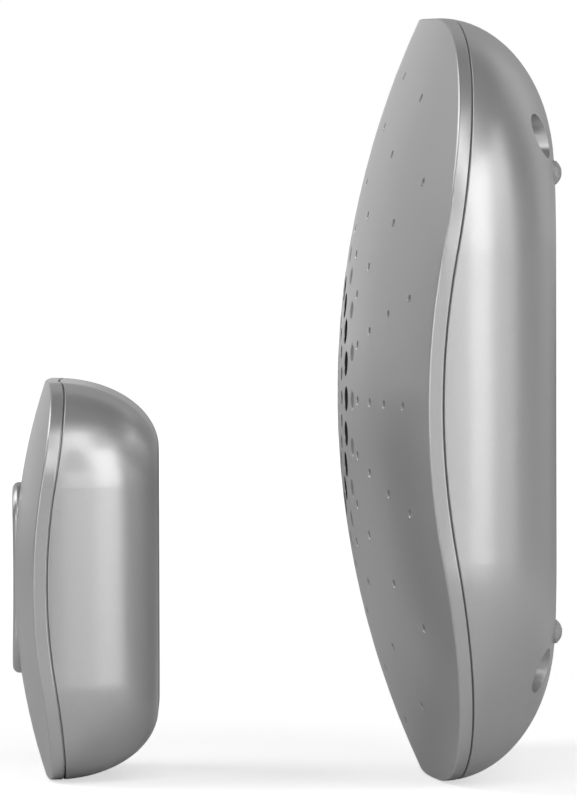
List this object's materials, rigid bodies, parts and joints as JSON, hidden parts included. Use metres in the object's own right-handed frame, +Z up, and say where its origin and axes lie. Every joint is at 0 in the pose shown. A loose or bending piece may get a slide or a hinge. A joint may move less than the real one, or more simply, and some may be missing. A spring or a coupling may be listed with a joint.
{
  "type": "wireless doorbell",
  "caption": "Domed silver wall chime with a ray pattern of speaker holes, and a matching battery bell push with an upright pill-shaped button.",
  "frame": {"origin": "centre of the round end of the chime's keyhole, on the chime's flat back plane", "axes": "+Y out of the chime's back into the wall it hangs on, +Z up, +X to the right seen from the front"},
  "size_m": [0.15, 0.1081, 0.15],
  "materials": {
    "silver_paint": "metallic silver paint with a fine flake on moulded plastic",
    "door_plastic": "fine-grained grey moulded plastic",
    "dark_plastic": "matte black moulded plastic",
    "plunger_plastic": "natural moulded plastic",
    "clear_rubber": "clear glossy soft rubber",
    "silicone": "translucent grey silicone",
    "foam": "closed-cell foam",
    "zinc_steel": "zinc-plated steel",
    "pressed_steel": "plated pressed steel",
    "ferrite": "sintered ferrite",
    "coil_copper": "enamelled copper wire",
    "cone_paper": "pressed black paper",
    "cap_paper": "pressed black paper",
    "surround_rubber": "soft black rubber",
    "grille_cloth": "black open-weave cloth",
    "fibre_board": "pressed brown fibre",
    "circuit_board": "green solder mask over glass fibre",
    "chip_plastic": "black epoxy",
    "capacitor_sleeve": "dark shrink sleeve",
    "tinned_steel": "tinned steel",
    "antenna_wire": "bare copper wire",
    "lead_plastic": "coloured lead insulation",
    "cell_steel": "nickel-plated steel",
    "cell_sleeve": "plain wrapped sleeve, with no print",
    "contact_nickel": "nickel-plated spring steel"
  },
  "bodies": {
    "chime": {"chime_front_cover": "silver_paint", "chime_rear_housing": "silver_paint", "melody_switch_body": "dark_plastic", "loudness_switch_body": "dark_plastic", "chime_wall_bumpers": "clear_rubber", "speaker_gasket": "foam", "chime_case_screws": "zinc_steel", "chime_board_screws": "zinc_steel", "speaker_clamp_screws": "zinc_steel", "speaker_frame": "pressed_steel", "speaker_top_plate": "pressed_steel", "speaker_yoke": "pressed_steel", "speaker_magnet": "ferrite", "speaker_surround": "surround_rubber", "speaker_cloth": "grille_cloth", "speaker_tag_board": "fibre_board", "chime_circuit_board": "circuit_board", "chime_receiver_module": "circuit_board", "chime_controller_chip": "chip_plastic", "chime_capacitors": "capacitor_sleeve", "chime_receiver_can": "tinned_steel", "chime_antenna": "antenna_wire", "speaker_leads": "lead_plastic", "chime_cell_cans": "cell_steel", "chime_cell_sleeves": "cell_sleeve", "chime_cell_contacts": "contact_nickel"},
    "bell_push": {"push_front_cover": "silver_paint", "push_rear_housing": "silver_paint", "push_seal_frame": "dark_plastic", "push_switch_body": "dark_plastic", "push_button_seal": "silicone", "push_case_gasket": "silicone", "push_case_screws": "zinc_steel", "push_seal_screws": "zinc_steel", "push_circuit_board": "circuit_board", "push_encoder_chip": "chip_plastic", "push_resonator_can": "tinned_steel", "push_antenna": "antenna_wire", "push_cell_can": "cell_steel", "push_cell_sleeve": "cell_sleeve", "push_cell_contacts": "contact_nickel"},
    "battery_door": {"chime_battery_door": "door_plastic"},
    "melody_key": {"melody_button": "dark_plastic"},
    "melody_plunger": {"melody_switch_plunger": "plunger_plastic"},
    "loudness_knob": {"loudness_slider": "dark_plastic"},
    "cone": {"speaker_cone": "cone_paper", "speaker_dust_cap": "cap_paper", "speaker_voice_coil": "coil_copper"},
    "push_key": {"push_button": "silver_paint"},
    "push_plunger": {"push_switch_plunger": "plunger_plastic"},
    "wall_plate": {"push_wall_plate": "door_plastic"}
  },
  "joints": [
    {"name": "push_unit_apart", "type": "slide", "parent": "chime", "child": "bell_push", "axis": [0, -1, 0], "range_m": [0, 0.06]},
    {"name": "push_button_press", "type": "slide", "parent": "bell_push", "child": "push_key", "axis": [0, 1, 0], "range_m": [0, 0.0008], "stiffness_N_per_m": 900, "springref_m": -0.002, "deforming": ["push_button_seal"]},
    {"name": "push_plunger_press", "type": "slide", "parent": "bell_push", "child": "push_plunger", "axis": [0, 1, 0], "range_m": [0, 0.0008]},
    {"name": "wall_plate_off", "type": "slide", "parent": "bell_push", "child": "wall_plate", "axis": [0, 1, 0], "range_m": [0, 0.02]},
    {"name": "battery_door_off", "type": "slide", "parent": "chime", "child": "battery_door", "axis": [0, 1, 0], "range_m": [0, 0.03]},
    {"name": "melody_button_press", "type": "slide", "parent": "chime", "child": "melody_key", "axis": [0, -1, 0], "range_m": [0, 0.0005], "stiffness_N_per_m": 600, "springref_m": -0.002},
    {"name": "melody_plunger_press", "type": "slide", "parent": "chime", "child": "melody_plunger", "axis": [0, -1, 0], "range_m": [0, 0.0005]},
    {"name": "loudness_slide", "type": "slide", "parent": "chime", "child": "loudness_knob", "axis": [1, 0, 0], "range_m": [0, 0.003]},
    {"name": "speaker_cone_travel", "type": "slide", "parent": "chime", "child": "cone", "axis": [0, -1, 0], "range_m": [-0.0003, 0.0003], "stiffness_N_per_m": 500, "deforming": ["speaker_surround"]}
  ],
  "couplings": [
    {"joint": "push_plunger_press", "follows": "push_button_press", "ratio": 1},
    {"joint": "melody_plunger_press", "follows": "melody_button_press", "ratio": 1}
  ]
}
